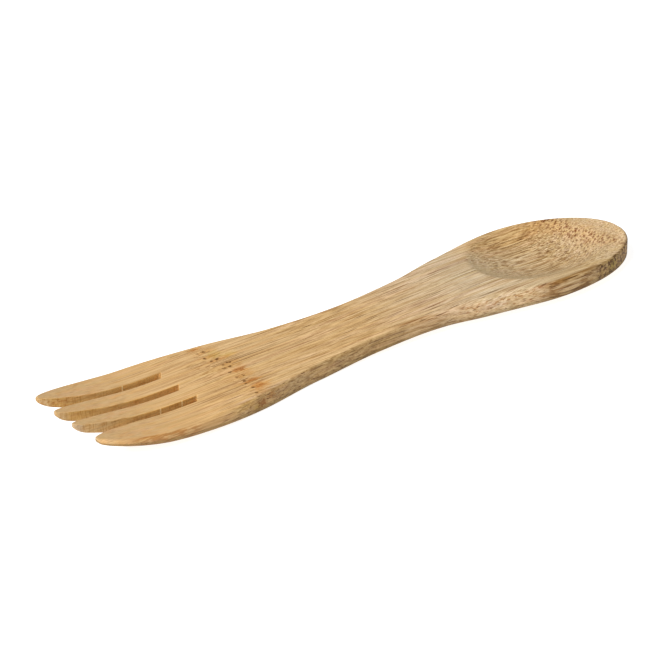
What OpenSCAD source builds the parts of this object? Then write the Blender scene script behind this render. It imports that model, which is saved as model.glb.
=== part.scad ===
// A spork cut from one strip of bamboo: a four-tined fork at one end, a spoon at the other end
// and a waisted handle between them. It is a single piece of wood, shaped, sawn and sanded.
// +X runs along the fibres from the tines to the spoon, +Y across the fork, and +Z up.
// The origin is the middle of the length, on the surface that the spork lies on.

/* [Strip] */
// Length from the tine tips to the end of the spoon
length = 165; // [145:1:185]
// Thickness of the strip, which is the height of the spoon's rim
strip_t = 7.2; // [6:0.1:9]
// Rounding of the sanded edges
edge_r = 1; // [0.4:0.1:1.4]

/* [Fork] */
// Width across the four tines
fork_w = 33; // [28:0.2:38]
// Distance from the tine tips to the widest and lowest place of the fork
fork_x = 25; // [20:1:32]
// Thickness of the fork at its middle line
fork_t = 4.2; // [3.4:0.1:5]
// Thickness of the fork at its outer edges
fork_edge_t = 2.8; // [1.6:0.1:3.2]
// Height of the fork's underside above the table at its lowest face
fork_lift = 0.2; // [0.1:0.05:0.6]

/* [Tines] */
// Height of the upper face at the tine tips
tip_h = 7.2; // [5.5:0.1:8]
// Thickness of the strip at the tine tips, before their noses are rounded
tip_t = 2.1; // [1.9:0.1:3]
// How much thicker the strip is at +Y than at -Y at the tine tips
tip_tilt = 0.9; // [0:0.1:1.2]
// Thickness along the outer edges at the tine tips, before their noses are rounded
tip_edge_t = 1.4; // [0.8:0.1:2]
// Length of the rounded noses, seen from the side
nose_l = 3; // [1:0.5:6]
// How far the noses' underside rounds up to the very tips
nose_rise = 1.4; // [0:0.1:1.4]
// Distance from the middle line to the tip of the outer tine at +Y
far_tip_y = 12.7; // [11:0.1:14]
// Distance from the middle line to the tip of the outer tine at -Y
near_tip_y = 11.4; // [10:0.1:14]
// Length of the rounded outer corners of the fork
corner_l = 18; // [8:1:20]
// Width of the saw cuts between the tines
gap_w = 2.2; // [1.2:0.1:3]
// Depth of the saw cuts from the tips
gap_l = 31.4; // [24:0.2:38]
// How much deeper a saw cut ends at its +Y side than at its -Y side
root_slant = 1.4; // [0:0.1:2]
// Length over which the tines narrow to their tips
taper_l = 16; // [10:1:20]
// Width of the blunt end of each tine
tip_w = 0.9; // [0.5:0.1:1.5]
// Width of the end of the tine at -Y, which is the most pointed
point_w = 0.5; // [0.3:0.1:1.5]
// How much shorter the tine at -Y is than the one at +Y
point_back = 1.7; // [0:0.1:2.4]

/* [Handle] */
// Distance from the tine tips to the heel, where the flat that lies on the table begins
heel_x = 46; // [42:1:52]
// Length of the flat on the underside of the heel
heel_l = 18; // [12:1:22]
// Width where the flat begins
heel_w = 28.3; // [24:0.2:30]
// Thickness where the flat begins
heel_t = 4.9; // [4:0.1:6]
// Width where the flat ends
grip_w = 21.8; // [19:0.2:24]
// Thickness where the flat ends
grip_t = 5.1; // [4:0.1:6]
// Distance from the tine tips to the waist
waist_x = 83; // [78:1:88]
// Width at the waist
waist_w = 18.8; // [15:0.2:22]
// Thickness at the waist
waist_t = 4.9; // [3.8:0.1:6]
// Height of the underside above the table at the waist
waist_lift = 0.85; // [0.4:0.05:1.2]
// Distance from the tine tips to the thinnest place of the handle
arch_x = 100; // [94:1:105]
// Width at the thinnest place of the handle
arch_w = 20.9; // [19:0.1:24]
// Thickness at the thinnest place of the handle
arch_t = 4.5; // [3.4:0.1:5]
// Height of the underside above the table at the thinnest place
arch_lift = 1.9; // [1.2:0.1:2.6]

/* [Spoon] */
// Distance from the tine tips to the neck, where the spoon begins
neck_x = 114; // [110:1:120]
// Width at the neck
neck_w = 25.8; // [23:0.2:28]
// Thickness at the neck
neck_t = 5.1; // [4:0.1:6]
// Rounding of the upper edge at -Y at the neck, which is sanded down further than the rest
neck_edge_r = 2.4; // [1:0.1:2.8]
// Distance from the tine tips to the widest place of the spoon
spoon_x = 136; // [128:1:142]
// Width across the spoon
spoon_w = 32; // [31:0.2:38]
// Thickness of the rim at the spoon's sides
rim_t = 4.9; // [3.6:0.1:5.5]
// Height of the upper face at the end of the spoon
end_h = 6.5; // [6:0.1:8]
// Thickness at the end of the spoon
end_t = 5.5; // [4:0.1:5.8]
// Width of the blunt spot at the very end of the spoon
end_w = 1; // [0.6:0.1:2]

/* [Bowl] */
// Length of the bowl
bowl_l = 37; // [32:0.5:42]
// Width of the bowl
bowl_w = 28; // [22:0.5:28]
// Depth of the bowl
bowl_d = 3.4; // [2.5:0.1:4.4]
// Rim left between the bowl and the end of the spoon
bowl_rim = 8.6; // [6:0.2:12]
// How far the bowl lies off the middle line, towards +Y
bowl_shift = 1.2; // [-1:0.1:1.2]

/* [Resolution] */
// Number of cross-sections along the length
sections = 68; // [40:4:120]
// Number of steps across one half of the belly
belly_steps = 6; // [4:1:12]
// Number of steps round each sanded edge
edge_steps = 3; // [2:1:8]
// Number of steps along each rounded side of a tine
tine_steps = 10; // [6:1:24]
// Number of sides of the bowl
bowl_sides = 96; // [48:8:160]

/* [Hidden] */

// How full the underside is across the fork and the spoon: a higher power is flatter in the middle
fork_belly_power = 4.6;
spoon_belly_power = 3;
// How blunt the tines and the fork's corners are in plan: 2 is an ellipse, less is more pointed
tine_power = 1.7;
// How blunt the end of the spoon is in plan
end_power = 1.95;
// Centres of the three saw cuts as shares of half the fork's width, a little off the middle
gap_centre_shares = [0.47, 0.03, -0.38];
// Depths of the three saw cuts as shares of gap_l, since no two are sawn quite alike
gap_depth_shares = [0.985, 0.995, 1.015];
// How the line of the tine tips curves back towards -Y
tip_line_power = 2.5;
// Largest rounding of an upper and of a lower edge, as shares of the edge's thickness
upper_r_share = 0.5;
lower_r_share = 0.42;
// Largest rounding of an edge, as a share of half the width
width_r_share = 0.8;
// Rim of the bowl, as a share of the greatest width of the ellipsoid it is cut by
rim_share = 0.5;
// How far past the surface each cut starts
overrun = 3 * edge_r;

// Centres of the saw cuts
centres = [for (share = gap_centre_shares) share * fork_w / 2];
// Places of the four tine tips across the fork
tip_ys = [far_tip_y, (centres[0] + centres[1]) / 2, (centres[1] + centres[2]) / 2, -near_tip_y];
// How far back from x = 0 each tine ends
tip_backs = [for (y = tip_ys) tip_x(y)];
// How far each side of a saw cut is drawn into the tine beside it: the middle tines are drawn in
// evenly from both sides, and the outer ones from their inner side only, since the blank's
// corners round their outer side
middle_draws = [for (i = [0:1]) (centres[i] - centres[i + 1] - gap_w - tip_w) / 2];
high_draws = concat(far_tip_y - tip_w - centres[0] - gap_w / 2, middle_draws);
low_draws = concat(middle_draws, near_tip_y - point_w + centres[2] - gap_w / 2);

// Half the width of the blank at places along it, before its ends are rounded
outline = [
  [0, fork_w / 2],
  [fork_x, fork_w / 2],
  [heel_x, heel_w / 2],
  [heel_x + heel_l, grip_w / 2],
  [waist_x, waist_w / 2],
  [arch_x, arch_w / 2],
  [neck_x, neck_w / 2],
  [spoon_x, spoon_w / 2],
  [length, spoon_w / 2],
];

// Height of the upper face along the middle line
upper_profile = [
  [0, tip_h],
  [fork_x, fork_lift + fork_t],
  [heel_x, heel_t],
  [heel_x + heel_l, grip_t],
  [waist_x, waist_lift + waist_t],
  [arch_x, arch_lift + arch_t],
  [neck_x, arch_lift + neck_t],
  [spoon_x, strip_t],
  [length, end_h],
];

// Height of the underside along the middle line: it lies on the table at the heel's flat and
// at the lowest spot of the spoon's belly
under_profile = [
  [0, tip_h - tip_t],
  [fork_x, fork_lift],
  [heel_x, 0],
  [heel_x + heel_l, 0],
  [waist_x, waist_lift],
  [arch_x, arch_lift],
  [neck_x, arch_lift],
  [spoon_x, 0],
  [length, end_h - end_t],
];

// Thickness along the outer edges
edge_profile = [
  [0, tip_edge_t],
  [fork_x, fork_edge_t],
  [heel_x, heel_t],
  [heel_x + heel_l, grip_t],
  [waist_x, waist_t],
  [arch_x, arch_t],
  [neck_x, neck_t],
  [spoon_x, rim_t],
  [length, end_t],
];

// Rounding of the upper edge at -Y
rounding = [
  [0, edge_r],
  [arch_x, edge_r],
  [neck_x, neck_edge_r],
  [spoon_x, edge_r],
  [length, edge_r],
];

// Slope of a curve between its points i and i + 1
function slope(curve, i) = (curve[i + 1][1] - curve[i][1]) / (curve[i + 1][0] - curve[i][0]);

// Tangent of a curve at its point i, level at a high or low point so that nothing overshoots
function tangent(curve, i) =
  i == 0 ? 1.5 * slope(curve, 0) - tangent(curve, 1) / 2
  : i == len(curve) - 1 ? 1.5 * slope(curve, i - 1) - tangent(curve, i - 1) / 2
  : slope(curve, i - 1) * slope(curve, i) <= 0 ? 0
  : 2 * slope(curve, i - 1) * slope(curve, i) / (slope(curve, i - 1) + slope(curve, i));

// Value of a curve at place x, on a smooth cubic through its points
function at(curve, x, i = 0) =
  i < len(curve) - 2 && x > curve[i + 1][0] ? at(curve, x, i + 1)
  : let (run = curve[i + 1][0] - curve[i][0], t = (x - curve[i][0]) / run)
    curve[i][1] * (1 + 2 * t) * (1 - t) ^ 2
    + curve[i + 1][1] * t ^ 2 * (3 - 2 * t)
    + run * tangent(curve, i) * t * (1 - t) ^ 2
    - run * tangent(curve, i + 1) * t ^ 2 * (1 - t);

// Share by which a rounded end is drawn in: 1 at the very end, 0 where the rounding stops
function drawn_in(distance, reach, power) =
  distance >= reach ? 0 : 1 - (1 - (1 - distance / reach) ^ power) ^ (1 / power);

// Half the width of the blank at place x, towards +Y for side 1 and towards -Y for side -1, with
// the fork's corners and the spoon's end rounded
function half_width(x, side) =
  at(outline, x)
  - (side > 0
    ? (fork_w / 2 - far_tip_y) * drawn_in(x, corner_l, tine_power)
    : (fork_w / 2 - near_tip_y) * drawn_in(max(0, x - point_back), corner_l, tine_power))
  - (spoon_w - end_w) / 2 * drawn_in(length - x, length - spoon_x, end_power);

// Height of the upper face at place x, rolled over at the end of the spoon
function upper_z(x) = at(upper_profile, x) - edge_r * drawn_in(length - x, edge_r, 2);

// How far the line of the tine tips lies back from x = 0 at place y
function tip_x(y) =
  point_back * (max(0, far_tip_y - y) / (far_tip_y + near_tip_y)) ^ tip_line_power;

// Height of the underside at place x and y, without the fall of the belly to its edges. It is drawn
// up at the tine tips, which are thicker at +Y than at -Y, and at the end of the spoon.
function under_z(x, y) =
  at(under_profile, x)
  - (x < fork_x ? tip_tilt * (1 - x / fork_x) ^ 2 * y / fork_w : 0)
  + nose_rise * drawn_in(max(0, x - tip_x(y)), nose_l, 2)
  + edge_r * drawn_in(length - x, edge_r, 2);

// Height of the belly at place x and y, which rises to the foot of the side at half width w
function belly_z(x, y, w, foot) =
  let (under = under_z(x, y))
  under + (foot - under) * abs(y / w) ^ (x < waist_x ? fork_belly_power : spoon_belly_power);

// Points of one half of the cross-section at place x: down round the upper edge, down the side,
// round the lower edge and along the belly
function half_section(x, side) =
  let (
    w = half_width(x, side),
    upper = upper_z(x),
    edge_t = min(at(edge_profile, x), upper - under_z(x, side * w)),
    upper_r = min(side < 0 ? at(rounding, x) : edge_r, upper_r_share * edge_t, width_r_share * w),
    lower_r = min(edge_r, lower_r_share * edge_t, width_r_share * w),
    turns = [for (i = [0:edge_steps]) 90 * i / edge_steps],
    belly_ys = concat(
      [for (a = turns) w - lower_r + lower_r * cos(a)],
      [for (i = [1:belly_steps - 1]) (w - lower_r) * (1 - i / belly_steps)]
    ),
    lifts = concat([for (a = turns) lower_r * (1 - sin(a))], [for (i = [1:belly_steps - 1]) 0])
  )
  concat(
    [for (a = turns) [x, side * (w - upper_r + upper_r * sin(a)), upper - upper_r + upper_r * cos(a)]],
    [for (i = [0:len(belly_ys) - 1])
      let (y = side * belly_ys[i])
        [x, y, belly_z(x, y, w, upper - edge_t) + lifts[i]]]
  );

// A whole cross-section: the half at +Y, the middle of the belly and the half at -Y
function section(x) =
  let (near_half = half_section(x, -1))
  concat(
    half_section(x, 1),
    [[x, 0, under_z(x, 0)]],
    [for (i = [len(near_half) - 1:-1:0]) near_half[i]]
  );

// Places of the cross-sections, closest together at the two rounded ends
function place(i) = length * (1 - cos(180 * i / sections)) / 2;

// The shaped strip, before it is sawn and its bowl is cut
module blank() {
  rings = [for (i = [0:sections]) section(place(i))];
  count = len(rings[0]);
  walls = [
    for (i = [0:sections - 1])
      for (j = [0:count - 1])
        let (a = i * count + j, b = i * count + (j + 1) % count)
          each [[a, b, b + count], [a, b + count, a + count]]
  ];
  caps = [
    [for (j = [count - 1:-1:0]) j],
    [for (j = [0:count - 1]) sections * count + j]
  ];
  polyhedron(points = [for (ring = rings) each ring], faces = concat(walls, caps), convexity = 6);
}

// One side of a saw cut, from the very tip of the tine beside it to where the flare ends.
// The tine is drawn in by the length draw at its tip, and ends at x = back.
function flare(edge_y, draw, back) =
  [for (i = [0:tine_steps])
    let (x = taper_l * (1 - cos(90 * i / tine_steps)))
      [back + x, edge_y + draw * drawn_in(x, taper_l, tine_power)]];

// One saw cut, flared where the tines beside it narrow to their rounded tips, with a root that
// slants across it. It also trims the tine on its -Y side to length.
module gap(i) {
  centre = centres[i];
  depth = gap_l * gap_depth_shares[i];
  low_side = flare(centre - gap_w / 2, -low_draws[i], tip_backs[i + 1]);
  high_side = flare(centre + gap_w / 2, high_draws[i], tip_backs[i]);
  trim_y = low_side[0][1] - tip_w - overrun;
  translate([0, 0, -overrun])
    linear_extrude(height = strip_t + 2 * overrun)
      polygon(concat(
        [[-overrun, trim_y], [tip_backs[i + 1], trim_y]],
        low_side,
        [[depth - root_slant / 2, centre - gap_w / 2], [depth + root_slant / 2, centre + gap_w / 2]],
        [for (j = [tine_steps:-1:0]) high_side[j]],
        [[-overrun, high_side[0][1]]]
      ));
}

// The bowl: the lower cap of an ellipsoid whose centre lies high above the rim
module bowl() {
  half_h = bowl_d / (1 - sqrt(1 - rim_share ^ 2));
  translate([length - bowl_rim - bowl_l / 2, bowl_shift, strip_t + half_h - bowl_d])
    scale([bowl_l / 2 / rim_share, bowl_w / 2 / rim_share, half_h])
      sphere(1, $fn = bowl_sides);
}

module spork() {
  color("burlywood")
    translate([-length / 2, 0, 0])
      difference() {
        blank();
        for (i = [0:2]) gap(i);
        bowl();
      }
}

spork();
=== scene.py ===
import math

import bmesh
import bpy
from mathutils import Matrix, Vector
from mathutils.kdtree import KDTree


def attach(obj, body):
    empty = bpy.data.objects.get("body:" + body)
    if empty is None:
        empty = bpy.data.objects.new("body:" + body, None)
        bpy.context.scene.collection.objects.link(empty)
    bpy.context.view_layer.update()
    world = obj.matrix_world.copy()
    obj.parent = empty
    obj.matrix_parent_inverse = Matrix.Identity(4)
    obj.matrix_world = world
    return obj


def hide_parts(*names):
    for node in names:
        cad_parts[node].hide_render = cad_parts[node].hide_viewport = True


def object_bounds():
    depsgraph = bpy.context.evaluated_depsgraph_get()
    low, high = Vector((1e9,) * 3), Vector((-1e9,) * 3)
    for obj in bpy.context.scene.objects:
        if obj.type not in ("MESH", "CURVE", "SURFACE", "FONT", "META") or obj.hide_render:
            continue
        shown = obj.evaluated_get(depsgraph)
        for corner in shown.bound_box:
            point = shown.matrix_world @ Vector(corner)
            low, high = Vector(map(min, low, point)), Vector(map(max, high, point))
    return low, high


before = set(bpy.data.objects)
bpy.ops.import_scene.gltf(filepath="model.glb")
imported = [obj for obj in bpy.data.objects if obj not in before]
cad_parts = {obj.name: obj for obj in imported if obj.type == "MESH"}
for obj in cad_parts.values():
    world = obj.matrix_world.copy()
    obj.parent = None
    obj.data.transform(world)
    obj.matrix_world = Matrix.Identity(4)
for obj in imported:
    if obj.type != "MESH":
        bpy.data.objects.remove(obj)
cad_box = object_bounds()

# The spork
# One strip of bamboo with its fibres along the length: planed to a shallow wave, sawn three times for the
# tines, milled out for the bowl and sanded. Two sheets of quads, the upper face and the underside, have
# the same edge all round, and a wall joins them.

# Sizes are in millimetres until the mesh is scaled at its end, and x is measured from the tine tips.
MM = 0.001
length, fork_w, strip_t = [round((high - low) / MM, 2) for low, high in zip(*cad_box)]
fork_x = 25
heel_x = 46
grip_x = 64
waist_x = 83
wrist_x = 100
neck_x = 114
spoon_x = 136
spoon_w = 32
edge_r = 1
neck_edge_r = 2.4

# Place, half width, heights of the upper face and the underside, thickness of the edge, and the rounding
# of the edge at -Y.
stations = [
    (0, fork_w / 2, strip_t, 5.1, 1.4, edge_r),
    (fork_x, fork_w / 2, 4.4, 0.2, 2.8, edge_r),
    (heel_x, 14.15, 4.9, 0, 4.9, edge_r),
    (grip_x, 10.9, 5.1, 0, 5.1, edge_r),
    (waist_x, 9.4, 5.75, 0.85, 4.9, edge_r),
    (wrist_x, 10.45, 6.4, 1.9, 4.5, edge_r),
    (neck_x, 12.9, 7.0, 1.9, 5.1, neck_edge_r),
    (spoon_x, spoon_w / 2, strip_t, 0, 4.9, edge_r),
    (length, spoon_w / 2, 6.5, 1.0, 5.5, edge_r),
]


# A curve through one column of the stations that never swings past their values.
def smooth_curve(column):
    points = [(station[0], station[column]) for station in stations]
    slopes = [(b[1] - a[1]) / (b[0] - a[0]) for a, b in zip(points, points[1:])]
    tangents = [0 if a * b <= 0 else 2 * a * b / (a + b) for a, b in zip(slopes, slopes[1:])]
    tangents.insert(0, 1.5 * slopes[0] - tangents[0] / 2)
    tangents.append(1.5 * slopes[-1] - tangents[-1] / 2)

    def at(x):
        i = 0
        while i < len(slopes) - 1 and x > points[i + 1][0]:
            i += 1
        run = points[i + 1][0] - points[i][0]
        t = (x - points[i][0]) / run
        return (points[i][1] * (1 + 2 * t) * (1 - t) ** 2 + points[i + 1][1] * t ** 2 * (3 - 2 * t)
                + run * tangents[i] * t * (1 - t) ** 2 - run * tangents[i + 1] * t ** 2 * (1 - t))

    return at


half_blank, upper_face, under_face, edge_thickness, near_rounding = [smooth_curve(c) for c in range(1, 6)]


# The share, from 1 at the tip to 0 at the reach, by which a rounded end is drawn in.
def drawn_in(distance, reach, power):
    if distance >= reach:
        return 0
    return 1 - (1 - (1 - max(0, distance) / reach) ** power) ** (1 / power)


# The tines: their tips lie on a line that curves back towards -Y, where the last tine is the most pointed.
far_tip_y = 12.7
near_tip_y = 11.4
point_back = 1.7
tip_line_power = 2.5
corner_l = 18
taper_l = 16
tine_power = 1.7
tip_w = 0.9
point_w = 0.5
gap_w = 2.2
gap_centres = [7.755, 0.495, -6.27]
gap_depths = [30.93, 31.24, 31.87]
root_slant = 1.4
slant_reach = 10
slant_fullness = 1.2
nose_l = 3
nose_rise = 1.4
nose_power = 2
tip_tilt = 0.9


def tip_x(y):
    return point_back * (max(0, far_tip_y - y) / (far_tip_y + near_tip_y)) ** tip_line_power


tip_backs = [tip_x(y) for y in (far_tip_y, sum(gap_centres[:2]) / 2, sum(gap_centres[1:]) / 2, -near_tip_y)]
middle_draws = [(gap_centres[i] - gap_centres[i + 1] - gap_w - tip_w) / 2 for i in range(2)]
high_draws = [far_tip_y - tip_w - gap_centres[0] - gap_w / 2] + middle_draws
low_draws = middle_draws + [near_tip_y - point_w + gap_centres[2] - gap_w / 2]


def half_width(x, side):
    if side > 0:
        corner = (fork_w / 2 - far_tip_y) * drawn_in(x, corner_l, tine_power)
    else:
        corner = (fork_w / 2 - near_tip_y) * drawn_in(x - point_back, corner_l, tine_power)
    return half_blank(x) - corner


def under_z(x, y):
    tilt = tip_tilt * (1 - x / fork_x) ** 2 * y / fork_w if x < fork_x else 0
    return under_face(x) - tilt + nose_rise * drawn_in(x - tip_x(y), nose_l, nose_power)


# Each saw cut ends deeper at its +Y side: the rows near the roots zigzag from one side to the other.
def slanted(x, y):
    edges = [(half_blank(x), 0), (-half_blank(x), 0)]
    for centre in gap_centres:
        edges += [(centre + gap_w / 2, root_slant / 2), (centre - gap_w / 2, -root_slant / 2)]
    edges.sort()
    share = max(0, 1 - abs(x - gap_depths[1]) / slant_reach)
    for (low_y, low_shift), (high_y, high_shift) in zip(edges, edges[1:]):
        if low_y <= y <= high_y:
            shift = low_shift + (high_shift - low_shift) * (y - low_y) / (high_y - low_y)
            return x + shift * min(1, slant_fullness * share)
    return x


# The roundings are cut down to a share of the thickness where the wood is thin.
cut_r = 0.25
upper_share = 0.5
lower_share = 0.42
cut_share = 0.4


def edge_t(x, y):
    return min(edge_thickness(x), upper_face(x) - under_z(x, y))


def upper_radius(x, side):
    rounding = near_rounding(x) if side < 0 else edge_r
    return min(rounding, upper_share * edge_t(x, side * half_width(x, side)))


def lower_radius(x, side):
    return min(edge_r, lower_share * edge_t(x, side * half_width(x, side)))


def cut_radius(x, y):
    return min(cut_r, cut_share * (upper_face(x) - under_z(x, y)))


# Rows of the sheets across the strip. At the end of the spoon they swing round like a fan.
rim_steps = 6
cut_steps = 3
tine_steps = 12
gap_steps = 4
column_count = 2 * (rim_steps + cut_steps + tine_steps) + 2 * (2 * cut_steps + tine_steps) + 3 * gap_steps
gap_columns = [rim_steps + tine_steps + cut_steps]
gap_columns += [gap_columns[0] + (gap_steps + 2 * cut_steps + tine_steps) * i for i in (1, 2)]
fork_rows = 70
fork_row_power = 1.7
fork_rows_end = 30
row_step = 0.5
fan_rows = 60
fan_heart = 149
end_flat = 1
end_power = 1.95
end_round = spoon_w / 2 - end_flat / 2
spread_from = 34
spread_to = 58
arcs_share = 0.8


def arc_offsets(radius, steps):
    return [radius * (1 - math.cos(math.pi / 2 * k / steps)) for k in range(steps + 1)]


# Places from start to end, close together in the roundings at both ends and even between them.
def spread(start, end, first, last, steps):
    room = abs(end - start)
    fit = min(1, arcs_share * room / (first[-1] + last[-1]))
    first = [fit * offset for offset in first]
    last = [fit * offset for offset in last]
    inner = [first[-1] + (room - first[-1] - last[-1]) * k / steps for k in range(1, steps)]
    distances = first + inner + [room - offset for offset in reversed(last)]
    return [start + math.copysign(distance, end - start) for distance in distances]


def straight_row(x, radius):
    rims = {side: arc_offsets(radius(x, side), rim_steps) for side in (1, -1)}
    ys = spread(half_width(x, 1), -half_width(x, -1), rims[1], rims[-1], column_count - 2 * rim_steps)
    if x >= spread_to:
        return [(x, y) for y in ys]
    row = []
    for tine, back in enumerate(tip_backs):
        tine_x = max(x, back + x * (1 - back / taper_l))
        flare = drawn_in(tine_x - back, taper_l, tine_power)
        cut = arc_offsets(cut_radius(tine_x, 0), cut_steps)
        high, first = half_width(tine_x, 1), rims[1]
        low, last = -half_width(tine_x, -1), rims[-1]
        if tine > 0:
            high, first = gap_centres[tine - 1] - gap_w / 2 - low_draws[tine - 1] * flare, cut
        if tine < len(gap_centres):
            low, last = gap_centres[tine] + gap_w / 2 + high_draws[tine] * flare, cut
        if tine > 0:
            gap_x, gap_y = row[-1]
            row += [(gap_x + (tine_x - gap_x) * k / gap_steps, gap_y + (high - gap_y) * k / gap_steps)
                    for k in range(1, gap_steps)]
        row += [(tine_x, y) for y in spread(high, low, first, last, tine_steps)]
    t = min(1, max(0, (x - spread_from) / (spread_to - spread_from)))
    t = t * t * (3 - 2 * t)
    return [(slanted(row_x, row_y), row_y + (y - row_y) * t) for (row_x, row_y), y in zip(row, ys)]


def fan_row(turn, radius):
    share = turn / fan_rows
    angle = math.pi / 2 * share
    heart = Vector((spoon_x + (fan_heart - spoon_x) * share, 0))
    rim_x = spoon_x + (length - spoon_x) * math.sin(angle) ** (2 / end_power)
    rim_y = end_flat / 2 + end_round * math.cos(angle) ** (2 / end_power) if turn < fan_rows else 0
    inner_steps = column_count // 2 - rim_steps
    halves = []
    for side in (1, -1):
        rim = Vector((rim_x, side * rim_y))
        reach = (heart - rim).length
        offsets = arc_offsets(radius(rim.x, side), rim_steps)
        distances = offsets + [offsets[-1] + (reach - offsets[-1]) * k / inner_steps
                               for k in range(1, inner_steps + 1)]
        halves.append([tuple(rim + (heart - rim) * distance / reach) for distance in distances])
    return halves[0] + halves[1][-2::-1]


row_places = [fork_rows_end * (i / fork_rows) ** fork_row_power for i in range(fork_rows + 1)]
for depth in gap_depths:
    row_places += [depth + offset for offset in arc_offsets(cut_r, cut_steps)]
straight_start = max(row_places)
straight_l = spoon_x - straight_start
straight_rows = round(straight_l / row_step)
row_places += [straight_start + straight_l * i / straight_rows for i in range(1, straight_rows)]
row_places.sort()
root_rows = [row_places.index(depth) for depth in gap_depths]

# The bowl is the lower cap of an ellipsoid, cut off at half of its reach. Sanding has softened its lip,
# most of all at the far end, where it runs out towards the end of the spoon.
bowl_l = 37
bowl_w = 28
bowl_depth = 3.4
bowl_margin = 8.6
bowl_x = length - bowl_margin - bowl_l / 2
bowl_y = 1.2
bowl_far_l = 20.5
cap_share = 0.5
near_reach, far_reach, side_reach = [half / cap_share for half in (bowl_l / 2, bowl_far_l, bowl_w / 2)]
bowl_height = bowl_depth / (1 - math.sqrt(1 - cap_share ** 2))
bowl_top = strip_t - bowl_depth + bowl_height
near_softness = 0.32
far_softness = 0.8
lip_run = 18


def bowl_z(x, y):
    reach = far_reach if x > bowl_x else near_reach
    share = ((x - bowl_x) / reach) ** 2 + ((y - bowl_y) / side_reach) ** 2
    return bowl_top - bowl_height * math.sqrt(max(0, 1 - share))


# The lower of the face and the bowl, blended over the lip's softness.
def milled_z(x, y, face):
    bowl = bowl_z(x, y)
    far_share = min(1, max(0, (x - bowl_x) / lip_run))
    softness = near_softness + (far_softness - near_softness) * far_share ** 2
    blend = max(0, softness - abs(face - bowl)) / softness
    return min(face, bowl) - blend ** 2 * softness / 4


# The underside stays low across the middle and turns up at the edges, later at the fork than at the spoon.
fork_belly_power = 4.6
spoon_belly_power = 3


def belly_z(x, y, side):
    width = half_width(x, side)
    if x >= spoon_x:
        width = end_flat / 2 + end_round * (1 - drawn_in(length - x, length - spoon_x, end_power))
    under = under_z(x, y)
    foot = upper_face(x) - edge_t(x, side * width)
    power = fork_belly_power if x < waist_x else spoon_belly_power
    return under + (foot - under) * min(1, abs(y) / width) ** power


def rolled(distance, radius):
    return 0 if distance >= radius else radius - math.sqrt(radius ** 2 - (radius - distance) ** 2)


tiny = 1e-12


def distance_to(edges):
    neighbours = {}
    for edge in edges:
        for vert in edge.verts:
            neighbours.setdefault(vert, []).append(edge.other_vert(vert))
    corners = list(neighbours)
    lookup = KDTree(len(corners))
    for index, vert in enumerate(corners):
        lookup.insert(vert.co, index)
    lookup.balance()

    def measure(point):
        near, index, least = lookup.find(point)
        for other in neighbours[corners[index]]:
            run = other.co - near
            t = max(0, min(1, (point - near).dot(run) / max(run.dot(run), tiny)))
            least = min(least, (point - near - run * t).length)
        return least

    return measure


# Each vertex keeps its distance from the outer edge and from the saw cuts, its share of the way down the
# side, and how deep it was milled, because the bamboo looks different there.
strip = bmesh.new()
edge_layer, cut_layer, depth_layer, milled_layer = [
    strip.verts.layers.float.new(name) for name in ("from_edge", "from_cut", "depth_share", "milled")]
weld = 0.001
wall_cuts = 3
contours = []
for sheet_face, radius in (("upper", upper_radius), ("under", lower_radius)):
    rows = [straight_row(x, radius) for x in row_places] + [fan_row(i, radius) for i in range(fan_rows + 1)]
    grid = bmesh.ops.create_grid(strip, x_segments=len(rows) - 1, y_segments=column_count, size=1)["verts"]
    index_of = {}
    for vert in grid:
        i = round((vert.co.x + 1) / 2 * (len(rows) - 1))
        j = round((1 - vert.co.y) / 2 * column_count)
        index_of[vert] = (i, j)
        vert.co = (*rows[i][j], 0)
    sawn_out = []
    for face in {face for vert in grid for face in vert.link_faces}:
        corners = [index_of[vert] for vert in face.verts]
        for column, root in zip(gap_columns, root_rows):
            if all(i <= root and column <= j <= column + gap_steps for i, j in corners):
                sawn_out.append(face)
    bmesh.ops.delete(strip, geom=sawn_out, context="FACES")
    grid = [vert for vert in grid if vert.is_valid]
    last_row = [vert for vert in grid if index_of[vert][0] == len(rows) - 1]
    bmesh.ops.remove_doubles(strip, verts=last_row, dist=weld)
    grid = [vert for vert in grid if vert.is_valid]

    rim = list(dict.fromkeys(edge for vert in grid for edge in vert.link_edges if edge.is_boundary))
    outer = {edge for edge in rim if all(index_of[vert][1] in (0, column_count) for vert in edge.verts)}
    to_edge = distance_to([edge for edge in rim if edge in outer])
    to_cut = distance_to([edge for edge in rim if edge not in outer])
    contours.append(rim)
    heights = {}
    for vert in grid:
        x, y, _ = vert.co
        side = 1 if y > 0 else -1
        vert[edge_layer] = to_edge(vert.co)
        vert[cut_layer] = to_cut(vert.co)
        vert[depth_layer] = 0 if sheet_face == "upper" else 1
        roll = max(rolled(vert[cut_layer], cut_radius(x, y)), rolled(vert[edge_layer], radius(x, side)))
        if sheet_face == "upper":
            face = upper_face(x) - roll
            heights[vert] = milled_z(x, y, face)
            vert[milled_layer] = face - heights[vert]
        else:
            heights[vert] = belly_z(x, y, side) + roll
    for vert, z in heights.items():
        vert.co.z = z

bmesh.ops.bridge_loops(strip, edges=contours[0] + contours[1])
uppers = {vert for edge in contours[0] for vert in edge.verts}
unders = {vert for edge in contours[1] for vert in edge.verts}
rungs = [edge for edge in strip.edges if uppers.intersection(edge.verts) and unders.intersection(edge.verts)]
bmesh.ops.subdivide_edges(strip, edges=rungs, cuts=wall_cuts, use_grid_fill=True)
bmesh.ops.recalc_face_normals(strip, faces=strip.faces)
bmesh.ops.translate(strip, verts=strip.verts, vec=(-length / 2, 0, 0))
bmesh.ops.scale(strip, verts=strip.verts, vec=(MM, MM, MM))
shaped = bpy.data.meshes.new("spork_bamboo")
strip.to_mesh(shaped)
strip.free()
shaped.shade_smooth()

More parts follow.
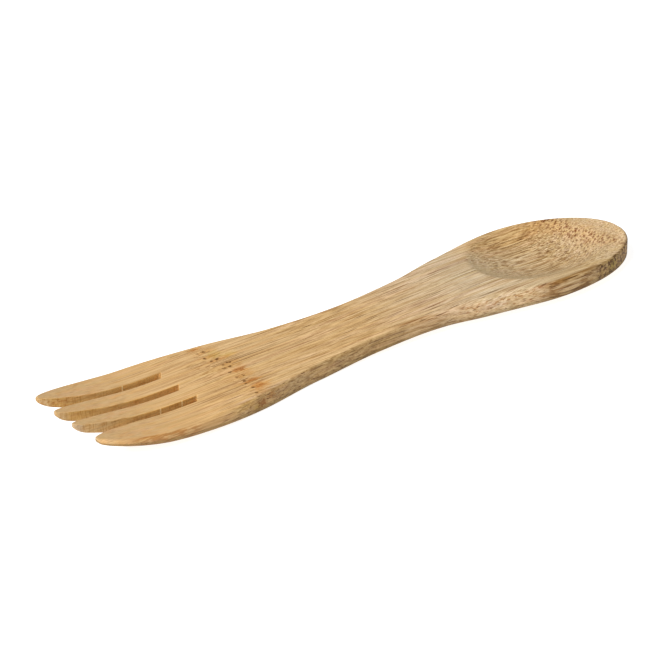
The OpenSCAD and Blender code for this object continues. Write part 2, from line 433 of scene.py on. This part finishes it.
spork = bpy.data.objects.new("spork_bamboo", shaped)
bpy.context.scene.collection.objects.link(spork)
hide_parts("spork")
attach(spork, "root")

# Bamboo is a bundle of fibres: brown vessels run along it in pale pith. They show as lines on the flat
# faces, and as dashes and dots where the bowl, the noses and the end cut across them.
# Places are in millimetres, with the middle of the spork as 0. A size is a noise's, in three directions. A
# stretch, width or window is a start, an end and how softly it fades at both, and a fade or depth is where
# it starts and where it is full. A dye multiplies the red, green and blue under it.
bamboo = bpy.data.materials.new("Bamboo")
bamboo.use_nodes = True
wood_tree = bamboo.node_tree
shader = wood_tree.nodes["Principled BSDF"]
full_level = 255
gamma = 2.2
top_light = 1.55


# The paint that shows as this colour on the upper face, where the light makes all paint brighter.
def seen(red, green, blue):
    return (*[(level / full_level) ** gamma / top_light for level in (red, green, blue)], 1)


def feed(socket, value):
    if isinstance(value, bpy.types.NodeSocket):
        wood_tree.links.new(value, socket)
    else:
        socket.default_value = value


def maths(operation, *values):
    node = wood_tree.nodes.new("ShaderNodeMath")
    node.operation = operation
    for socket, value in zip(node.inputs, values):
        feed(socket, value)
    return node.outputs["Value"]


def fade(value, start, end):
    node = wood_tree.nodes.new("ShaderNodeMapRange")
    node.interpolation_type = "SMOOTHSTEP"
    feed(node.inputs["Value"], value)
    feed(node.inputs["From Min"], start)
    feed(node.inputs["From Max"], end)
    return node.outputs["Result"]


def window(value, start, end, soft):
    return maths("MULTIPLY", fade(value, start - soft, start + soft), fade(value, end + soft, end - soft))


def every(*shares):
    result = shares[0]
    for share in shares[1:]:
        result = maths("MULTIPLY", result, share)
    return result


def tint(share, under, over, blend="MIX"):
    node = wood_tree.nodes.new("ShaderNodeMix")
    node.data_type = "RGBA"
    node.blend_type = blend
    feed(node.inputs["Factor"], share)
    feed(node.inputs["A"], under)
    feed(node.inputs["B"], over)
    return node.outputs["Result"]


def dyed(share, under, dye):
    return tint(share, under, (*dye, 1), "MULTIPLY")


def split(vector):
    node = wood_tree.nodes.new("ShaderNodeSeparateXYZ")
    feed(node.inputs["Vector"], vector)
    return node.outputs


def joined(*values):
    node = wood_tree.nodes.new("ShaderNodeCombineXYZ")
    for socket, value in zip(node.inputs, values):
        feed(socket, value)
    return node.outputs["Vector"]


def noise(at, sizes, detail=2):
    node = wood_tree.nodes.new("ShaderNodeTexNoise")
    feed(node.inputs["Vector"], joined(*[maths("DIVIDE", value, size) for value, size in zip(at, sizes)]))
    feed(node.inputs["Scale"], 1)
    feed(node.inputs["Detail"], detail)
    return node.outputs


def attribute(name):
    node = wood_tree.nodes.new("ShaderNodeAttribute")
    node.attribute_name = name
    return node.outputs["Fac"]


in_mm = wood_tree.nodes.new("ShaderNodeVectorMath")
in_mm.operation = "SCALE"
feed(in_mm.inputs["Vector"], wood_tree.nodes.new("ShaderNodeTexCoord").outputs["Object"])
feed(in_mm.inputs["Scale"], 1 / MM)
along, across, up = split(in_mm.outputs["Vector"])
here = (along, across, up)
from_edge, from_cut, depth_share, milled = [
    attribute(name) for name in ("from_edge", "from_cut", "depth_share", "milled")]

# The fibres wander a little. They swerve at the node, where a leaf grew, and dive at the spoon's end.
node_x = -38
node_stretch = (node_x - 3, node_x + 2.5, 2)
sway_size = (60, 9, 9)
sway_reach = 1.8
swerve_size = (2.5, 1.6, 1.6)
swerve_reach = 0.8
dive_from = 56
dive_rate = 0.012
noise_middle = 0.5
sway = split(noise(here, sway_size, 1)["Color"])
swerve = split(noise(here, swerve_size, 1)["Color"])
at_node = window(along, *node_stretch)
past_bowl = maths("MAXIMUM", maths("SUBTRACT", along, dive_from), 0)
dive = maths("MULTIPLY", every(past_bowl, past_bowl), dive_rate)
fibre = [along]
for place, wander, kink in zip((across, maths("ADD", up, dive)), sway, swerve):
    shift = maths("MULTIPLY", maths("SUBTRACT", wander, noise_middle), sway_reach)
    bend = every(at_node, maths("SUBTRACT", kink, noise_middle), swerve_reach)
    fibre.append(maths("ADD", place, maths("ADD", shift, bend)))

# The pith's colour at places along the spork. A level above 255 makes up for the shade at the spoon's end.
pith = [
    (-82, 214, 177, 128), (-50, 227, 186, 131), (-30, 230, 192, 139),
    (0, 227, 189, 136), (18, 228, 197, 156), (32, 232, 208, 172),
    (55, 229, 200, 155), (70, 232, 200, 151), (80, 260, 226, 178),
]
ramp = wood_tree.nodes.new("ShaderNodeValToRGB")
feed(ramp.inputs["Fac"], maths("MULTIPLY_ADD", along, 1 / length, 0.5))
steps = ramp.color_ramp.elements
steps.remove(steps[1])
first_place, *first_tone = pith[0]
steps[0].position = first_place / length + 0.5
steps[0].color = seen(*first_tone)
for place, *tone in pith[1:]:
    steps.new(place / length + 0.5).color = seen(*tone)
colour = ramp.outputs["Color"]

# Bands a few fibres wide are golden, pinkish or greenish, and finer streaks are paler or browner. The
# streaks are weaker on the tines, and a little weaker across the palm.
band_size = (90, 1.2, 1.2)
streak_size = (24, 0.3, 0.3)
fleck_size = (1.6, 0.35, 0.35)
tine_strength = 0.35
tine_fade = (-62, -38)
palm_loss = 0.35
palm_stretch = (-44, -20, 6)
golden_fade = (0.46, 0.64)
pinkish_fade = (0.5, 0.34)
greenish_fade = (0.52, 0.68)
brown_streak_fade = (0.56, 0.36)
pale_streak_fade = (0.48, 0.66)
fleck_fade = (0.54, 0.34)
golden_dye = (1.01, 0.98, 0.9)
pinkish_dye = (1.01, 0.98, 1.01)
greenish_dye = (0.98, 0.99, 0.97)
brown_streak_dye = (0.82, 0.77, 0.68)
pale_streak_dye = (1.12, 1.15, 1.22)
fleck_dye = (0.9, 0.88, 0.84)
golden, pinkish, _ = split(noise(fibre, band_size, 1)["Color"])
streaks, hairs, _ = split(noise(fibre, streak_size, 3)["Color"])
flecks = noise(fibre, fleck_size)["Fac"]
strength = maths("MULTIPLY_ADD", fade(along, *tine_fade), 1 - tine_strength, tine_strength)
streak_strength = every(strength, maths("MULTIPLY_ADD", window(along, *palm_stretch), -palm_loss, 1))
colour = dyed(fade(golden, *golden_fade), colour, golden_dye)
colour = dyed(fade(pinkish, *pinkish_fade), colour, pinkish_dye)
colour = dyed(fade(pinkish, *greenish_fade), colour, greenish_dye)
colour = dyed(every(streak_strength, fade(streaks, *brown_streak_fade)), colour, brown_streak_dye)
colour = dyed(every(streak_strength, fade(streaks, *pale_streak_fade)), colour, pale_streak_dye)
colour = dyed(every(strength, fade(flecks, *fleck_fade)), colour, fleck_dye)


# Vessels are round spots in a cut across the fibres, and so they are lines along them. Each has a radius
# and a darkness of its own. A lean makes them cross a face as short slanted dashes.
dark_core = 0.45


def vessels(cell, radius, uneven, lean=0, least=0.2):
    _, fibre_y, fibre_z = fibre
    node = wood_tree.nodes.new("ShaderNodeTexVoronoi")
    node.voronoi_dimensions = "2D"
    feed(node.inputs["Vector"], joined(maths("MULTIPLY_ADD", along, -lean, fibre_y), fibre_z, 0))
    feed(node.inputs["Scale"], 1 / cell)
    red, green, _ = split(node.outputs["Color"])
    reach = maths("MULTIPLY_ADD", red, uneven, radius)
    spot = fade(node.outputs["Distance"], reach, maths("MULTIPLY", reach, dark_core))
    return every(spot, maths("MULTIPLY_ADD", every(green, green), 1 - least, least))


hair_window = (0.485, 0.515, 0.01)
hair_dye = (0.734, 0.664, 0.58)
thin_dye = (0.776, 0.706, 0.622)
bold_dye = (0.58, 0.46, 0.34)
fine_dye = (0.22, 0.13, 0.07)
hair = window(hairs, *hair_window)
thin = vessels(cell=0.45, radius=0.2, uneven=0.24)
bold = vessels(cell=0.66, radius=0.2, uneven=0.18, least=0.4)
fine = vessels(cell=0.55, radius=0.14, uneven=0.12, least=0.35)
colour = dyed(every(strength, hair), colour, hair_dye)
colour = dyed(every(strength, thin), colour, thin_dye)
colour = dyed(every(strength, bold), colour, bold_dye)
colour = dyed(every(strength, fine), colour, fine_dye)

# The far half of the bowl cuts across the vessels. They are reddish dots in a slanted zone there, and
# fainter dots on its near side.
crossed_slant = 0.3
crossed_stretch = (69.5, 75.5, 2.5)
crossed_slope = 0.5
crossed_width = (28, 60, 4)
crossed_low_stretch = (63, 72, 3)
crossed_low_width = (-12, 6, 4)
crossed_dye = (1.04, 0.99, 0.93)
red_dot_dye = (0.3, 0.13, 0.05)
crossed_low_dye = (1.07, 1.1, 1.18)
faint_dot_dye = (0.4, 0.31, 0.26)
crossed = every(window(maths("MULTIPLY_ADD", across, crossed_slant, along), *crossed_stretch),
                window(maths("MULTIPLY_ADD", along, crossed_slope, across), *crossed_width))
red_dots = every(vessels(cell=0.85, radius=0.34, uneven=0.25, lean=0.45, least=0.55), crossed)
colour = dyed(crossed, colour, crossed_dye)
colour = dyed(red_dots, colour, red_dot_dye)
crossed_low = every(window(along, *crossed_low_stretch), window(across, *crossed_low_width))
faint_dots = every(vessels(cell=0.75, radius=0.3, uneven=0.2, lean=0.45, least=0.3), crossed_low)
colour = dyed(crossed_low, colour, crossed_low_dye)
colour = dyed(faint_dots, colour, faint_dot_dye)

# The floor of the bowl is striped where the cut runs nearly along the fibres, with short dashes near the
# handle, and its far side is golden.
bowl_stretch = (50, 66, 5)
dash_stretch = (43, 66, 3)
bowl_width = (-10, 14, 3)
golden_side_stretch = (40, 70, 6)
golden_side_fade = (5, 12)
stripe_size = (9, 0.5, 0.4)
brown_stripe_fade = (0.5, 0.6)
pale_stripe_fade = (0.48, 0.36)
dash_size = (2.4, 0.3, 0.3)
dash_window = (0.3, 0.44, 0.04)
bowl_dye = (1.05, 1.05, 1.06)
brown_stripe_dye = (0.609, 0.524, 0.4135)
pale_stripe_dye = (1.1, 1.12, 1.14)
dash_dye = (0.696, 0.608, 0.496)
golden_side_dye = (1.0, 0.9, 0.74)
in_bowl = every(window(along, *bowl_stretch), window(across, *bowl_width))
stripes = noise(fibre, stripe_size, 3)["Fac"]
dashes = window(noise(fibre, dash_size)["Fac"], *dash_window)
dashed = every(window(along, *dash_stretch), window(across, *bowl_width), dashes)
golden_side = every(window(along, *golden_side_stretch), fade(across, *golden_side_fade))
colour = dyed(in_bowl, colour, bowl_dye)
colour = dyed(every(in_bowl, fade(stripes, *brown_stripe_fade)), colour, brown_stripe_dye)
colour = dyed(every(in_bowl, fade(stripes, *pale_stripe_fade)), colour, pale_stripe_dye)
colour = dyed(dashed, colour, dash_dye)
colour = dyed(golden_side, colour, golden_side_dye)


# A patch round a centre, in two directions or in three, with an edge that a noise makes ragged.
patch_edge = (1.1, 0.4)
ragged_reach = 2.4


def blob(centre, reach, rough):
    squared = 0
    for value, middle, size in zip(here, centre, reach):
        away = maths("DIVIDE", maths("SUBTRACT", value, middle), size)
        squared = maths("ADD", squared, every(away, away))
    ripple = maths("MULTIPLY", maths("SUBTRACT", rough, noise_middle), ragged_reach)
    return fade(maths("ADD", maths("SQRT", squared), ripple), *patch_edge)


# The node: a crooked row of dark spots where the vessels knot, some with a rust-coloured smear behind
# them, a greenish patch at its far end and brown hatching before it. A spot has its place along, its place
# across and its size, and a patch has its centre and its reach.
spot_places = [
    (-37.8, 10.4, 1.2), (-39.5, 10.5, 0.7), (-39.4, 7.6, 0.9), (-38.6, 5.6, 0.8), (-37.1, 5.6, 1),
    (-37.5, 2.4, 0.7), (-36.1, 2.8, 0.6), (-35.5, 2.6, 0.7), (-36.5, 0.9, 1), (-38.1, 0.9, 1),
    (-38.1, -1.5, 1), (-36.3, -4.4, 1.1), (-38, -4.3, 0.9), (-37.7, -6.8, 0.9), (-38.1, -8, 0.6),
    (-37.7, -10.5, 1), (-38.5, -12.9, 0.8),
]
rust_patches = [
    ((-35.4, -1.8), (2.6, 1.6)), ((-35.7, -7.7), (2.8, 0.6)), ((-35.6, -10.6), (2.8, 2)),
    ((-39, 12.6), (2, 0.8)),
]
green_patch = ((-36.5, 8), (2.2, 2.2))
yellow_patch = ((-33.6, 5.8), (2.2, 1.2))
spot_l = 0.62
spot_w = 0.5
smear_size = (2.2, 1)
smear_shift = 1.3
smear_drop = 0.1
hatch_stretch = (-45, -39.5, 1.5)
hatch_width = (-3, 9, 3)
hatch_window = (0.2, 0.43, 0.04)
ragged_size = (0.7, 0.4, 0.4)
streaky_size = (3, 0.35, 0.35)
heart_shrink = 0.2
node_dye = (0.985, 0.95, 0.895)
smear_dye = (0.935, 0.844, 0.714)
rust_dye = (0.919, 0.748, 0.55)
rust_heart_dye = (0.72, 0.55, 0.38)
green_dye = (0.9, 0.92, 0.74)
yellow_dye = (1.0, 0.99, 0.76)
hatch_dye = (0.728, 0.64, 0.536)
spot_tone = (112, 74, 34)
spot_cover = 0.9
ragged = noise(fibre, ragged_size)["Fac"]
streaky = noise(fibre, streaky_size)["Fac"]
spots = smears = 0
for spot_x, spot_y, size in spot_places:
    smear_place = (spot_x + smear_shift, spot_y - smear_drop)
    spots = maths("MAXIMUM", spots, blob((spot_x, spot_y), (spot_l * size, spot_w * size), ragged))
    smears = maths("MAXIMUM", smears, blob(smear_place, smear_size, streaky))
hatches = window(streaky, *hatch_window)
hatched = every(window(along, *hatch_stretch), window(across, *hatch_width), hatches)
colour = dyed(at_node, colour, node_dye)
colour = dyed(smears, colour, smear_dye)
for patch in rust_patches:
    colour = dyed(blob(*patch, streaky), colour, rust_dye)
    colour = dyed(blob(*patch, maths("ADD", ragged, heart_shrink)), colour, rust_heart_dye)
colour = dyed(blob(*green_patch, streaky), colour, green_dye)
colour = dyed(blob(*yellow_patch, streaky), colour, yellow_dye)
colour = dyed(hatched, colour, hatch_dye)
colour = tint(every(spots, spot_cover), colour, seen(*spot_tone))

# The near side is painted darker along the handle, partly painted shade and partly grey-brown mottling. It
# is painted paler at its start, as painted light, with a painted highlight along the arris there. Where the
# node reaches it, there are two brown patches and an olive one, each with its centre, its reach and its dye.
near_fade = (-3, -5)
side_fade = (0.55, 0.25)
patch_size = (2.6, 1.1, 1.1)
patch_fade = (0.5, 0.62)
dot_size = (0.9, 0.5, 0.5)
dot_fade = (0.52, 0.66)
handle_stretch = (-46, 9, 4)
handle_start_light_fade = (-38, -42)
handle_start_light_depth = (0.6, 0.3)
arris_highlight_stretch = (-46, -31, 4)
arris_highlight_width = (0.3, 1, 0.2)
handle_shade_and_grey_dye = (0.83, 0.82, 0.77)
handle_patch_dye = (0.8, 0.77, 0.72)
handle_dot_dye = (0.8, 0.74, 0.66)
handle_start_light_dye = (1.18, 1.2, 1.08)
arris_highlight_dye = (0.92, 0.944, 1.12)
side_patches = [
    ((-37.7, -14.4, 2.5), (1.5, 1.5, 1.1), (0.6, 0.42, 0.25)),
    ((-35, -13.7, 3.3), (1.5, 1.5, 1.1), (0.86, 0.7, 0.52)),
    ((-39.2, -14.4, 2), (1.6, 1.5, 1), (0.92, 0.92, 0.66)),
]
near = fade(across, *near_fade)
near_side = every(near, fade(from_edge, *side_fade))
patches = noise(fibre, patch_size, 3)["Fac"]
dots = noise(fibre, dot_size)["Fac"]
handle_side = every(near_side, window(along, *handle_stretch))
handle_start_light = every(handle_side, fade(along, *handle_start_light_fade), fade(depth_share, *handle_start_light_depth))
arris_highlight = every(near, window(from_edge, *arris_highlight_width), window(along, *arris_highlight_stretch))
# Painted shade, in part: the handle's near side is made darker and greyer.
colour = dyed(handle_side, colour, handle_shade_and_grey_dye)
colour = dyed(every(handle_side, fade(patches, *patch_fade)), colour, handle_patch_dye)
colour = dyed(every(handle_side, fade(dots, *dot_fade)), colour, handle_dot_dye)
# Painted light: the start of the handle's near side is made paler.
colour = dyed(handle_start_light, colour, handle_start_light_dye)
# Painted highlight along the near arris by the node.
colour = dyed(arris_highlight, colour, arris_highlight_dye)
for centre, reach, dye in side_patches:
    colour = dyed(blob(centre, reach, dots), colour, dye)

# At the neck it is browner, with a darker foot and a brown line along the arris.
neck_stretch = (9, 19, 4)
neck_foot_stretch = (14, 32, 4)
neck_foot_depth = (0.3, 0.75)
neck_line_stretch = (6, 15, 2)
neck_line_width = (0.5, 1.3, 0.3)
neck_dye = (0.88, 0.83, 0.74)
neck_foot_dye = (0.85, 0.83, 0.79)
neck_line_dye = (0.7, 0.58, 0.44)
neck_foot = every(near_side, window(along, *neck_foot_stretch), fade(depth_share, *neck_foot_depth))
neck_line = every(near, window(from_edge, *neck_line_width), window(along, *neck_line_stretch))
colour = dyed(every(near_side, window(along, *neck_stretch)), colour, neck_dye)
colour = dyed(neck_foot, colour, neck_foot_dye)
colour = dyed(neck_line, colour, neck_line_dye)

# Beside the bowl it has brown spots, then brown streaks. The end of the spoon is dark and dotted, with an
# olive patch, and the lower edge of the near side is painted dark all along as painted shade.
spoon_stretch = (22, 50, 5)
streak_stretch = (46, 62, 4)
end_fade = (61, 65)
spoon_side_fade = (1.2, 0.4)
streak_side_fade = (1.3, 0.5)
end_side_fade = (0.45, 0.2)
lower_edge_shade_fade = (1.2, 0.6)
lower_edge_shade_depth = (0.7, 1)
blotch_size = (1.8, 0.5, 0.6)
blotch_depth = (0.8, 0.5)
blotch_fade = (0.55, 0.63)
side_streak_size = (9, 0.6, 0.7)
side_streak_fade = (0.42, 0.56)
end_dot_size = (0.9, 0.9, 0.9)
end_dot_fade = (0.5, 0.58)
olive_patch = ((69.6, -13.3, 4.6), (2.2, 2, 1.6))
spoon_side_dye = (0.99, 0.94, 0.9)
blotch_dye = (0.74, 0.6, 0.48)
streak_side_dye = (0.88, 0.82, 0.72)
side_streak_dye = (0.52, 0.4, 0.24)
end_dye = (0.7, 0.63, 0.46)
end_dot_dye = (0.36, 0.27, 0.15)
olive_dye = (0.92, 0.98, 0.55)
lower_edge_shade_dye = (0.68, 0.664, 0.56)
spoon_side = every(near, fade(from_edge, *spoon_side_fade), window(along, *spoon_stretch))
blotches = noise(fibre, blotch_size)["Fac"]
blotched = every(spoon_side, fade(depth_share, *blotch_depth), fade(blotches, *blotch_fade))
colour = dyed(spoon_side, colour, spoon_side_dye)
colour = dyed(blotched, colour, blotch_dye)
streak_side = every(near, fade(from_edge, *streak_side_fade), window(along, *streak_stretch))
side_streaks = noise(fibre, side_streak_size)["Fac"]
colour = dyed(streak_side, colour, streak_side_dye)
colour = dyed(every(streak_side, fade(side_streaks, *side_streak_fade)), colour, side_streak_dye)
spoon_end = every(fade(along, *end_fade), fade(from_edge, *end_side_fade))
end_dots = noise(here, end_dot_size)["Fac"]
colour = dyed(spoon_end, colour, end_dye)
colour = dyed(every(spoon_end, fade(end_dots, *end_dot_fade)), colour, end_dot_dye)
colour = dyed(blob(*olive_patch, dots), colour, olive_dye)
# Painted shade: the near side's lower edge is made darker.
lower_edge_shade = every(near, fade(from_edge, *lower_edge_shade_fade), fade(depth_share, *lower_edge_shade_depth))
colour = dyed(lower_edge_shade, colour, lower_edge_shade_dye)

# Sawn walls are golden brown with fine saw marks, but for the very tips. The tines' noses are duller,
# painted paler on the two tines at -Y as painted light, and spotted on the one at +Y. The walls are redder
# deep in the cuts, and greyer at the roots.
sawn_fade = (0.16, 0.05)
tip_fade = (-81, -79)
nose_fade = (-69, -76)
nose_light_fade = (-1, -3)
spotted_nose_fade = (8, 10)
deep_stretch = (-65, -45, 3)
root_lean = 0.067
root_fade = (-51.5, -51)
saw_mark_size = (0.3, 2.5, 2.5)
saw_mark_fade = (0.52, 0.64)
sawn_patch_fade = (0.5, 0.7)
nose_mark_fade = (0.48, 0.6)
nose_dot_fade = (0.5, 0.62)
sawn_dye = (1.06, 0.96, 0.7)
saw_mark_dye = (0.88, 0.83, 0.74)
sawn_patch_dye = (0.86, 0.76, 0.64)
nose_dye = (0.89, 0.9, 0.85)
nose_light_dye = (1.0, 1.08, 1.45)
nose_mark_dye = (0.88, 0.81, 0.72)
nose_dot_dye = (0.82, 0.68, 0.46)
deep_dye = (1.0, 0.94, 0.82)
root_dye = (0.91, 1.0, 1.28)
sawn = every(fade(from_cut, *sawn_fade), fade(along, *tip_fade))
saw_marks = noise(fibre, saw_mark_size)["Fac"]
colour = dyed(sawn, colour, sawn_dye)
colour = dyed(every(sawn, fade(saw_marks, *saw_mark_fade)), colour, saw_mark_dye)
colour = dyed(every(sawn, fade(patches, *sawn_patch_fade)), colour, sawn_patch_dye)
noses = every(fade(from_cut, *sawn_fade), fade(along, *nose_fade))
spotted_nose = every(noses, fade(dots, *nose_dot_fade), fade(across, *spotted_nose_fade))
roots = fade(maths("MULTIPLY_ADD", across, root_lean, along), *root_fade)
colour = dyed(noses, colour, nose_dye)
# Painted light: the noses of the two tines at -Y are made paler.
colour = dyed(every(noses, fade(across, *nose_light_fade)), colour, nose_light_dye)
colour = dyed(every(noses, fade(saw_marks, *nose_mark_fade)), colour, nose_mark_dye)
colour = dyed(spotted_nose, colour, nose_dot_dye)
colour = dyed(every(sawn, window(along, *deep_stretch)), colour, deep_dye)
colour = dyed(every(sawn, roots), colour, root_dye)

# The tines' upper faces are faintly mottled. A pale tick is painted on a sawn wall wherever the saw was set
# again, a painted highlight for the small step it left, and the tines' near side has brown streaks.
tine_face_fade = (-54, -64)
off_cut_fade = (0.1, 0.4)
tick_highlight_places = [(-61.5, 8.9), (-59.9, -5.2), (-54, -5.2)]
tick_highlight_size = (0.22, 0.8)
tick_highlight_tone = (255, 215, 150)
tine_side_fade = (1.0, 0.6)
fork_stretch = (-56, -48, 3)
tine_stretch = (-76, -58, 4)
tine_streak_stretch = (-73, -56, 3)
tine_streak_fade = (0.42, 0.56)
dull_fade = (0.48, 0.3)
rosy_dye = (1.02, 0.96, 0.89)
dull_dye = (0.98, 0.99, 0.92)
fork_side_dye = (0.9, 0.87, 0.8)
tine_side_dye = (0.9, 0.86, 0.77)
tine_streak_dye = (0.74, 0.6, 0.44)
tine_faces = every(fade(along, *tine_face_fade), fade(from_cut, *off_cut_fade))
colour = dyed(every(tine_faces, fade(patches, *patch_fade)), colour, rosy_dye)
colour = dyed(every(tine_faces, fade(streaky, *dull_fade)), colour, dull_dye)
# Painted highlight: a pale tick on a sawn wall where a small step catches the light.
for place in tick_highlight_places:
    colour = tint(every(sawn, blob(place, tick_highlight_size, noise_middle)), colour, seen(*tick_highlight_tone))
tine_side = every(near, fade(from_edge, *tine_side_fade))
tine_streaks = every(tine_side, window(along, *tine_streak_stretch), fade(streaky, *tine_streak_fade))
colour = dyed(every(tine_side, window(along, *fork_stretch)), colour, fork_side_dye)
colour = dyed(every(tine_side, window(along, *tine_stretch)), colour, tine_side_dye)
colour = dyed(tine_streaks, colour, tine_streak_dye)

# The near rim at the spoon's end is painted paler as painted light, and the near lip of the bowl shows clean
# pale pith.
rim_light_width = (0.7, 3, 0.4)
rim_light_fade = (62, 67)
lip_depth = (0.25, 1.5, 0.25)
lip_fade = (60, 52)
lip_side_fade = (7, 2)
rim_light_dye = (1.08, 1.11, 1.16)
lip_tone = (214, 186, 138)
lip_cover = 0.45
spoon_rim_light = every(near, window(from_edge, *rim_light_width), fade(along, *rim_light_fade))
near_lip = every(window(milled, *lip_depth), fade(along, *lip_fade), fade(across, *lip_side_fade))
# Painted light: the near rim at the spoon's end is made paler.
colour = dyed(spoon_rim_light, colour, rim_light_dye)
colour = tint(every(near_lip, lip_cover), colour, seen(*lip_tone))

# Sanding leaves the soft pith a touch lower than the hard vessels, and duller.
relief_depth = 0.04 * MM
relief_strength = 0.5
vessel_rise = 0.6
pith_roughness = 0.68
vessel_polish = 0.15
wood_shine = 0.2
relief = wood_tree.nodes.new("ShaderNodeBump")
feed(relief.inputs["Strength"], relief_strength)
feed(relief.inputs["Distance"], relief_depth)
feed(relief.inputs["Height"], maths("ADD", streaks, every(maths("MAXIMUM", thin, bold), vessel_rise)))
feed(shader.inputs["Normal"], relief.outputs["Normal"])
feed(shader.inputs["Roughness"], maths("MULTIPLY_ADD", bold, -vessel_polish, pith_roughness))
feed(shader.inputs["Base Color"], colour)
feed(shader.inputs["Specular IOR Level"], wood_shine)
shaped.materials.append(bamboo)

# The floor
# A plain sheet of white acrylic, far larger than the view, that the spork lies on. It is lit from below,
# as on a table for product pictures, so that hardly a shadow is left.
floor_size = 6
floor_clearance = 0.02 * MM
floor_grey = 0.45
floor_glow = 0.85
floor_roughness = 0.9
floor_shine = 0.2
floor_mesh = bpy.data.meshes.new("floor")
card = bmesh.new()
bmesh.ops.create_grid(card, x_segments=1, y_segments=1, size=floor_size / 2)
bmesh.ops.translate(card, verts=card.verts, vec=(0, 0, -floor_clearance))
card.to_mesh(floor_mesh)
card.free()
floor = bpy.data.objects.new("floor", floor_mesh)
bpy.context.scene.collection.objects.link(floor)

acrylic = bpy.data.materials.new("Lit acrylic")
acrylic.use_nodes = True
acrylic_shader = acrylic.node_tree.nodes["Principled BSDF"]
acrylic_shader.inputs["Base Color"].default_value = (floor_grey, floor_grey, floor_grey, 1)
acrylic_shader.inputs["Roughness"].default_value = floor_roughness
acrylic_shader.inputs["Specular IOR Level"].default_value = floor_shine
acrylic_shader.inputs["Emission Color"].default_value = (1, 1, 1, 1)
acrylic_shader.inputs["Emission Strength"].default_value = floor_glow
floor_mesh.materials.append(acrylic)

# The studio light
# A soft box high beyond the tines' end, and pale walls all round. The faces that look towards the tines
# are bright, and those that look towards the spoon's end are in shade.
wall_glow = 0.3
soft_box_size = 0.6
soft_box_watts = 25
soft_box_place = Vector((-0.84, -0.2, 0.83))
scene = bpy.context.scene
scene.view_settings.view_transform = "Standard"
world = bpy.data.worlds.new("Studio")
scene.world = world
world.use_nodes = True
world.node_tree.nodes["Background"].inputs["Color"].default_value = (1, 1, 1, 1)
world.node_tree.nodes["Background"].inputs["Strength"].default_value = wall_glow

soft_box = bpy.data.lights.new("Soft box", "AREA")
soft_box.shape = "SQUARE"
soft_box.size = soft_box_size
soft_box.energy = soft_box_watts
soft_box_stand = bpy.data.objects.new("Soft box", soft_box)
scene.collection.objects.link(soft_box_stand)
soft_box_stand.location = soft_box_place
soft_box_stand.rotation_euler = (-soft_box_place).to_track_quat("-Z", "Y").to_euler()

# The camera
# A long lens above the tines' side, which sees the tines at the lower left and the spoon at the upper
# right. The frame is square.
image_side = 665
focal_pixels = 2911
camera_azimuth = math.radians(-35.217)
camera_elevation = math.radians(28.948)
camera_roll = math.radians(-0.80)
camera_distance = 703.6 * MM
aim = Vector((-5.67, 2.56, 3.0)) * MM
nearest_seen = 10 * MM
lens = bpy.data.cameras.new("Camera")
lens.sensor_width = 36
lens.lens = lens.sensor_width * focal_pixels / image_side
lens.clip_start = nearest_seen
camera = bpy.data.objects.new("Camera", lens)
scene.collection.objects.link(camera)
back = Vector((
    math.sin(camera_azimuth) * math.cos(camera_elevation),
    -math.cos(camera_azimuth) * math.cos(camera_elevation),
    math.sin(camera_elevation),
))
camera.location = aim + camera_distance * back
camera.rotation_mode = "QUATERNION"
level = (-back).to_track_quat("-Z", "Y")
camera.rotation_quaternion = level @ Matrix.Rotation(camera_roll, 4, "Z").to_quaternion()
scene.camera = camera
